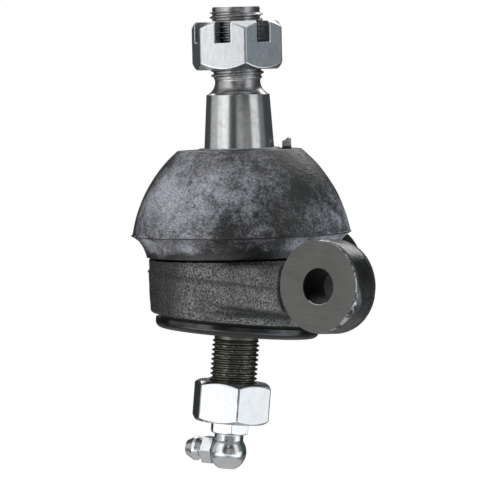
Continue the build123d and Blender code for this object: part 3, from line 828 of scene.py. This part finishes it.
def shape_arms(points):
    """Brings each arm's front flush with the body, with a hollow under it and a groove beside the ear."""
    for side in ARMS:
        arm = arm_matrix(side)
        local = into(arm, points)
        along, height, offset = local[:, 0], local[:, 1], local[:, 2]
        tangent = WALL_RADIUS + (height - WALL_FOOT) * math.tan(WALL_DRAFT)
        wall = np.sqrt(np.maximum(tangent**2 - along**2, 1))
        front = np.maximum(np.where(along > 0, wall, 0), ARM_FRONT)
        outer_end = 24.0 + 0.04 * (height - 10)
        flush = tangent + (outer_end - tangent) * smoothstep(1, 24, along)
        weight = smoothstep(8.2, 10.0, height) * smoothstep(20.5, 23.0, offset) * (along > 0) * (along < 40)
        local[:, 2] += (flush - front) * weight
        hollow = HOLLOW_DEPTH * bell(height - HOLLOW_HEIGHT, HOLLOW_WIDTH)
        hollow *= smoothstep(2, 12, along) * smoothstep(31, 27, along)
        from_axis = np.hypot(along - EAR_REACH, height - EAR_HEIGHT)
        groove = GROOVE_DEPTH * bell(from_axis - GROOVE_RADIUS, GROOVE_WIDTH)
        groove *= (offset < 24.6) & (along < EAR_REACH)
        local[:, 2] -= (hollow + groove) * smoothstep(18, 20, offset)
        points = out_of(arm, local)
    return points


def forging_relief(points):
    """How far the forged skin stands out at each point: its grain, and the parting line's ridge and step."""
    rough = 0.09 * noise3(points, 1.3, 11) + 0.13 * noise3(points, 3.4, 12) + 0.2 * noise3(points, 9.0, 13)
    wander = 0.35 * noise3(points, 9.0, 14)
    reach = points[:, 0] * math.cos(EAR_SPLAY) + np.abs(points[:, 1]) * math.sin(EAR_SPLAY)
    from_line = points[:, 2] - PARTING_HEIGHT - PARTING_RISE * bell(reach - 17, 11) - wander
    ragged = np.clip(0.6 + 0.8 * noise3(points, 2.2, 15), 0.1, 1.4)
    parting = PARTING_RIDGE * bell(from_line, 0.3) * ragged - PARTING_STEP * smoothstep(-0.2, 0.2, from_line)
    calm = np.ones(len(points))
    for side in ARMS:
        local = into(ear_matrix(side), points)
        from_axis = np.hypot(local[:, 0], local[:, 1])
        calm = calm * (0.3 + 0.7 * smoothstep(EAR_RADIUS + 0.5, EAR_RADIUS + 4, from_axis))
    return rough * calm + parting * (calm * 1.2 - 0.2)


def trim_rims(points):
    """Trims the flash off each ear's front rim and leaves stock on its face for the machining cut."""
    for side in ARMS:
        ear = ear_matrix(side)
        local = into(ear, points)
        radius = np.hypot(local[:, 0], local[:, 1])
        near = radius < EAR_RADIUS + 3
        angle = np.arctan2(local[:, 1], local[:, 0])
        window = np.clip(1 - ((angle - TRIM_MIDDLE) / TRIM_REACH) ** 2, 0, 1)
        limit = EAR_RADIUS - TRIM_DEPTH * window + TRIM_SLOPE * (EAR_FACE_OFFSET - local[:, 2])
        over = near & (window > 0) & (radius > limit) & (local[:, 2] > EAR_FACE_OFFSET - 6)
        local[:, :2] *= np.where(over, limit / np.maximum(radius, 1), 1)[:, None]
        proud = smoothstep(EAR_FACE_OFFSET - 0.5, EAR_FACE_OFFSET - 0.1, local[:, 2]) * near
        local[:, 2] += MACHINING_STOCK * proud
        points = np.where(near[:, None], out_of(ear, local), points)
    return points


def forge(obj):
    """Turns the eased solid into a forging, rough outside and smooth in its socket and its ears' holes."""
    points = points_of(obj.data)
    radius = np.hypot(points[:, 0], points[:, 1])
    outside = smoothstep(21.0, 22.5, radius) * smoothstep(3.9, 4.6, points[:, 2])
    points = shape_arms(points)
    for side in ARMS:
        local = into(ear_matrix(side), points)
        outside = outside * smoothstep(5.2, 6.2, np.hypot(local[:, 0], local[:, 1]))
    push = forging_relief(points) * outside
    points += normals_of(obj.data) * push[:, None]
    set_points(obj.data, trim_rims(points))


housing = remeshed("housing_forging", "housing", 0.34, 6)
forge(housing)
for material in (paint, machined, bore):
    housing.data.materials.append(material)


def cut(obj, matrix, profile, material):
    """Takes a turned shape out of the object and gives the cut surface this material."""
    tool = lathe("tool", matrix, profile, 96, sharp_angle=30)
    tool.data.materials.append(material)
    modifier = obj.modifiers.new("cut", "BOOLEAN")
    modifier.operation = "DIFFERENCE"
    modifier.solver = "EXACT"
    modifier.material_mode = "TRANSFER"
    modifier.object = tool
    graph = bpy.context.evaluated_depsgraph_get()
    mesh = bpy.data.meshes.new_from_object(obj.evaluated_get(graph))
    obj.modifiers.clear()
    obj.data = mesh
    bpy.data.objects.remove(tool)


EAR_BACK = EAR_FACE_OFFSET - EAR_THICKNESS
MACHINED_FACE = [
    (0.01, EAR_FACE_OFFSET),
    (EAR_RADIUS + 2, EAR_FACE_OFFSET),
    (EAR_RADIUS + 2, EAR_FACE_OFFSET + 4),
    (0.01, EAR_FACE_OFFSET + 4),
]
DRILLED_HOLE = [
    (0.01, EAR_BACK - 2),
    (5.8, EAR_BACK - 2),
    (5.8, EAR_BACK - 0.9),
    (HOLE_RADIUS, EAR_BACK + 0.3),
    (HOLE_RADIUS, EAR_FACE_OFFSET - HOLE_CHAMFER),
    (HOLE_RADIUS + HOLE_CHAMFER + 1, EAR_FACE_OFFSET + 1),
    (0.01, EAR_FACE_OFFSET + 1),
]
for side in ARMS:
    cut(housing, ear_matrix(side), MACHINED_FACE, machined)
    cut(housing, ear_matrix(side), DRILLED_HOLE, bore)

# The forged skin is smooth throughout, the machined faces are flat and the edges between finishes are sharp
PAINTED, MACHINED = 0, 1
housing.data.shade_smooth()
bm = bmesh.new()
bm.from_mesh(housing.data)
for edge in bm.edges:
    finishes = {f.material_index for f in edge.link_faces}
    gentle = edge.calc_face_angle(0) < math.radians(40)
    edge.smooth = len(finishes) == 1 and (gentle or finishes == {PAINTED})
for face in bm.faces:
    face.smooth = face.material_index != MACHINED
bm.to_mesh(housing.data)
bm.free()
place(housing, "housing_body", "housing_paint", "housing")


# Dust boot, one moulding with a ragged flash round its rim and a nub on top

LIP_HEIGHT = 1.8
EQUATOR = (29.2, 7.6)
CROWN = (25.0, 19.7)
TOP = (16.6, 30.0)
NUB_PLACE = (12.7, 0, 30.0)

dome = arc_points(EQUATOR, CROWN, TOP, 90)
boot_outer = divided([(25.5, LIP_HEIGHT), (25.75, 3.0), (26.4, 4.6), (27.5, 6.2), (28.9, 7.3)], 0.5)
flash_first = len(boot_outer)
boot_outer += [(29.15, 7.42), (29.3, 7.52), (29.3, 7.68), (29.2, 7.8)]
flash_last = len(boot_outer)
boot_outer += dome[2:-2] + rounded([dome[-2], TOP, (15.6, 30.05)], 0.5)
boot_outer += divided([(15.6, 30.02), (11.6, 30.0)], 0.6)[1:]
boot_outer += [(11.2, 30.05), (10.9, 30.35), (10.5, 30.55), (9.95, 30.5), (9.72, 30.2)]
boot_inner = [(9.74, 27.5), (12.0, 27.4), (15.2, 27.4), (18.2, 24.5), (21.4, 20.5), (24.2, 15.0)]
boot_inner += [(26.0, 10.0), (26.5, 7.8), (25.6, 6.0), (24.0, 4.2), (23.0, LIP_HEIGHT)]


def boot_shape(r, z, a, number):
    """Makes the flash round the rim ragged and wandering, and the outside a little uneven."""
    points = np.stack([r * np.cos(a), r * np.sin(a), z], axis=-1).reshape(-1, 3)
    wander = noise3(points * (1, 1, 0), 5.0, 21).reshape(r.shape)
    ragged = noise3(points * (1, 1, 0), 1.4, 22).reshape(r.shape)
    soft = noise3(points, 7.0, 23).reshape(r.shape)
    fine = noise3(points, 2.0, 24).reshape(r.shape)
    outer = number < len(boot_outer)
    z = z + np.where(outer, wander * 0.3 * bell(z - EQUATOR[1], 1.2), 0)
    flash = (number > flash_first) & (number < flash_last - 1)
    r = r + np.where(flash, np.clip(0.12 + 0.5 * ragged + 0.25 * wander, 0, 0.75), 0)
    body = outer & ~flash & (z > 2.5) & (r > 11.5)
    r = r + np.where(body, 0.14 * soft + 0.035 * fine, 0)
    return r, z, a


boot = lathe("boot", SOCKET, boot_outer + boot_inner, 300, boot_shape, closed=True, sharp_angle=50)
boot.data.materials.append(rubber)


def moulding_nub():
    """A small wedge with a fin along its top, where the mould was filled."""
    bm = bmesh.new()
    bmesh.ops.create_cube(bm, size=1)
    for v in bm.verts:
        top = v.co.z > 0
        v.co.x *= 2.3 if top else 2.5
        v.co.y *= 3.0 if top else 3.8
        v.co.z = 2.6 if top else -0.6
        if top and v.co.x < 0:
            v.co.z = 2.1
    bmesh.ops.subdivide_edges(bm, edges=bm.edges, cuts=5, use_grid_fill=True)
    for v in bm.verts:
        if v.co.z > 1.2:
            v.co.z += 0.55 * bell(v.co.x - 0.35, 0.45)
    mesh = bpy.data.meshes.new("nub")
    bm.to_mesh(mesh)
    bm.free()
    points = points_of(mesh) * MM + NUB_PLACE
    points += 0.12 * np.stack([noise3(points, 0.9, s) for s in (31, 32, 33)], axis=1)
    set_points(mesh, out_of(SOCKET, points))
    obj = new_object("nub", mesh, 40)
    obj.data.materials.append(rubber)
    return obj


nub = moulding_nub()
with bpy.context.temp_override(active_object=boot, selected_editable_objects=[boot, nub]):
    bpy.ops.object.join()
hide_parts("dust_boot")
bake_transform(boot)


# CAD pieces that keep their own shape

KEPT = {
    "cover_plate": cover_finish,
    "cover_seal": seal_rubber,
    "bearing_liner": liner_polymer,
    "pressure_cup": liner_polymer,
    "swivel_ring": ring_steel,
    "boot_collar": ring_steel,
    "disc_spring": spring_steel,
    "check_ball": ring_steel,
}
for node, material in KEPT.items():
    mesh = frame["nodes"][node].data
    mesh.materials.clear()
    mesh.materials.append(material)


# The check ball's spring

spring = new_object("check_spring_wire", frame["nodes"]["check_spring"].data.copy(), 40)
spring.data.materials.clear()
spring.data.materials.append(spring_steel)
place(spring, "housing_body", "spring_steel", "check_spring")
wire = points_of(spring.data)
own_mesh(spring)


# Camera, at the photograph's place: 1.07 m off, level with the taper, and rolled a little

FOCAL_PIXELS = 4001.8
IMAGE_SIZE = 480
PRINCIPAL = (257.8, 52.8)
CAMERA_DISTANCE = 1070.0
CAMERA_HEIGHT = 75.0
CAMERA_AZIMUTH = math.radians(-0.8)
CAMERA_ROLL = math.radians(4.3)

ahead = Vector((-math.sin(CAMERA_AZIMUTH), math.cos(CAMERA_AZIMUTH), 0))
level_right = Vector((math.cos(CAMERA_AZIMUTH), math.sin(CAMERA_AZIMUTH), 0))
image_right = level_right * math.cos(CAMERA_ROLL) + Vector((0, 0, 1)) * math.sin(CAMERA_ROLL)
image_up = Vector((0, 0, 1)) * math.cos(CAMERA_ROLL) - level_right * math.sin(CAMERA_ROLL)
centre = IMAGE_SIZE / 2
across = image_right * (centre - PRINCIPAL[0]) - image_up * (centre - PRINCIPAL[1])
turn = ahead.rotation_difference((ahead * FOCAL_PIXELS + across).normalized())
rotation = Matrix((image_right, image_up, -ahead)).transposed()
camera_data = bpy.data.cameras.new("camera")
camera_data.sensor_width = 36.0
camera_data.lens = camera_data.sensor_width * FOCAL_PIXELS / IMAGE_SIZE
camera_data.clip_start, camera_data.clip_end = 0.1, 20.0
camera = bpy.data.objects.new("camera", camera_data)
bpy.context.scene.collection.objects.link(camera)
eye = Vector((0, 0, CAMERA_HEIGHT)) - ahead * CAMERA_DISTANCE
camera.matrix_world = Matrix.Translation(eye * MM) @ (turn.to_matrix() @ rotation).to_4x4()
bpy.context.scene.camera = camera
bpy.context.scene.view_settings.view_transform = "Standard"


# Floor, backdrop, world and lamps, in metres

FLOOR_HEIGHT = -0.16
LIT_HEIGHT = 0.04


def white_to_camera(tree, shader, output, rays, white=None):
    """Makes the surface look white to these rays, each by its share, and keeps its own colour for others."""
    path = tree.nodes.new("ShaderNodeLightPath")
    factor = 0.0
    for ray, share in rays:
        either = tree.nodes.new("ShaderNodeMath")
        either.operation = "MULTIPLY_ADD"
        tree.links.new(path.outputs[ray], either.inputs[0])
        either.inputs[1].default_value = share
        either.inputs[2].default_value = 0.0
        if factor:
            tree.links.new(factor, either.inputs[2])
        factor = either.outputs[0]
    if white is None:
        white = tree.nodes.new("ShaderNodeEmission").outputs[0]
    mix = tree.nodes.new("ShaderNodeMixShader")
    tree.links.new(factor, mix.inputs[0])
    tree.links.new(shader, mix.inputs[1])
    tree.links.new(white, mix.inputs[2])
    tree.links.new(mix.outputs[0], output)


def staged_plane(name, size, location, rotation):
    """A plane of this size in metres that belongs to the studio and not to the part."""
    bm = bmesh.new()
    bmesh.ops.create_grid(bm, x_segments=1, y_segments=1, size=0.5)
    mesh = bpy.data.meshes.new(name)
    bm.to_mesh(mesh)
    bm.free()
    mesh.transform(Matrix.Diagonal((*size, 1, 1)))
    obj = bpy.data.objects.new(name, mesh)
    bpy.context.scene.collection.objects.link(obj)
    obj.location = location
    obj.rotation_euler = rotation
    return obj


# The floor looks white and gives back only a little light
floor_surface = Surface("floor_pale")
floor_surface.set(Base_Color=(0.3, 0.3, 0.3, 1), Roughness=0.9)
floor_tree = floor_surface.tree
floor_glow = floor_tree.nodes.new("ShaderNodeEmission")
floor_glow.inputs["Strength"].default_value = 0.97
floor_seen = floor_tree.nodes.new("ShaderNodeAddShader")
floor_tree.links.new(floor_surface.shader.outputs[0], floor_seen.inputs[0])
floor_tree.links.new(floor_glow.outputs[0], floor_seen.inputs[1])
white_to_camera(
    floor_tree,
    floor_surface.shader.outputs[0],
    floor_tree.nodes["Material Output"].inputs["Surface"],
    (("Is Camera Ray", 1.0), ("Is Transmission Ray", 1.0)),
    floor_seen.outputs[0],
)
floor = staged_plane("floor", (6, 6), (0, 0, FLOOR_HEIGHT), (0, 0, 0))
floor.data.materials.append(floor_surface.material)

# The backdrop looks white to the camera and a tenth as bright in reflections
backdrop_surface = Surface("backdrop_white")
backdrop_surface.set(Base_Color=(0.5, 0.5, 0.5, 1), Roughness=0.9)
white_to_camera(
    backdrop_surface.tree,
    backdrop_surface.shader.outputs[0],
    backdrop_surface.tree.nodes["Material Output"].inputs["Surface"],
    (("Is Camera Ray", 1.0), ("Is Glossy Ray", 0.1), ("Is Transmission Ray", 1.0)),
)
backdrop = staged_plane("backdrop", (1.4, 2.4), (0, 2.9, 1.04), (math.radians(90), 0, 0))
backdrop.data.materials.append(backdrop_surface.material)

# The world looks white to the camera and lights the part faintly
world = bpy.data.worlds.new("world")
bpy.context.scene.world = world
world.use_nodes = True
studio = world.node_tree.nodes["Background"]
studio.inputs["Color"].default_value = (0.88, 1.0, 1.05, 1)
studio.inputs["Strength"].default_value = 0.08
world_output = world.node_tree.nodes["World Output"]
glow = world.node_tree.nodes.new("ShaderNodeBackground")
glow.inputs["Color"].default_value = (1, 1, 1, 1)
path = world.node_tree.nodes.new("ShaderNodeLightPath")
mix = world.node_tree.nodes.new("ShaderNodeMixShader")
world.node_tree.links.new(path.outputs["Is Camera Ray"], mix.inputs[0])
world.node_tree.links.new(studio.outputs[0], mix.inputs[1])
world.node_tree.links.new(glow.outputs[0], mix.inputs[2])
world.node_tree.links.new(mix.outputs[0], world_output.inputs["Surface"])


def area_lamp(name, width, height, radiance, colour):
    """A rectangular lamp of this size in metres and this radiance, which the camera doesn't see."""
    lamp = bpy.data.lights.new(name, "AREA")
    lamp.shape = "RECTANGLE"
    lamp.size, lamp.size_y = width, height
    lamp.energy = radiance * math.pi * width * height
    lamp.color = colour
    obj = bpy.data.objects.new(name, lamp)
    bpy.context.scene.collection.objects.link(obj)
    obj.visible_camera = False
    return obj


def softbox(name, azimuth, elevation, distance, width, height, radiance, colour=(1, 1, 1)):
    """A lamp that faces the part. Azimuth 0 is the camera's side and 90 is to its right."""
    a, e = math.radians(azimuth), math.radians(elevation)
    towards = Vector((math.sin(a) * math.cos(e), -math.cos(a) * math.cos(e), math.sin(e)))
    obj = area_lamp(name, width, height, radiance, colour)
    obj.location = Vector((0, 0, LIT_HEIGHT)) + towards * distance
    obj.rotation_euler = (-towards).to_track_quat("-Z", "Y").to_euler()


def floor_card(name, azimuth, near, far, width, radiance, colour=(1, 1, 1)):
    """A lamp that lies on the floor and shines up, between two distances from the part."""
    a = math.radians(azimuth)
    reach = (near + far) / 2
    obj = area_lamp(name, width, far - near, radiance, colour)
    obj.location = (math.sin(a) * reach, -math.cos(a) * reach, FLOOR_HEIGHT + 0.01)
    obj.rotation_euler = (math.pi, 0, a)


softbox("key_left", -49, 18, 0.52, 0.235, 0.66, 1.42)
softbox("key_fade", -71, 18, 0.52, 0.16, 0.66, 1.15)
softbox("side_left", -96, 18, 0.52, 0.29, 0.66, 0.6)
softbox("low_left", -44, -13, 0.5, 0.2, 0.13, 0.65)
softbox("strip_right", 57, 18, 0.52, 0.27, 0.66, 1.05)
softbox("side_right", 85, 18, 0.52, 0.22, 0.66, 0.18, (0.85, 1.0, 1.1))
softbox("low_right", 79, -13, 0.5, 0.3, 0.13, 1.25)
softbox("front_card", 2, 0, 1.6, 0.62, 1.2, 0.42)
softbox("front_dim", 25.5, 0, 1.6, 0.71, 1.2, 0.25)
softbox("top", 170, 76, 0.55, 0.8, 0.7, 1.1)
softbox("back_top", 172, 36, 0.7, 0.7, 0.24, 2.8)
softbox("front_high", 0, 36, 1.3, 0.3, 0.28, 0.9)
floor_card("floor_under", 0, -0.16, 0.2, 0.4, 0.4)
floor_card("floor_left", -50, 0.28, 0.62, 0.48, 2.3)
floor_card("floor_front", 0, 0.3, 0.62, 0.3, 1.1)
floor_card("floor_right", 52, 0.28, 0.62, 0.5, 1.9, (0.85, 1.0, 1.15))
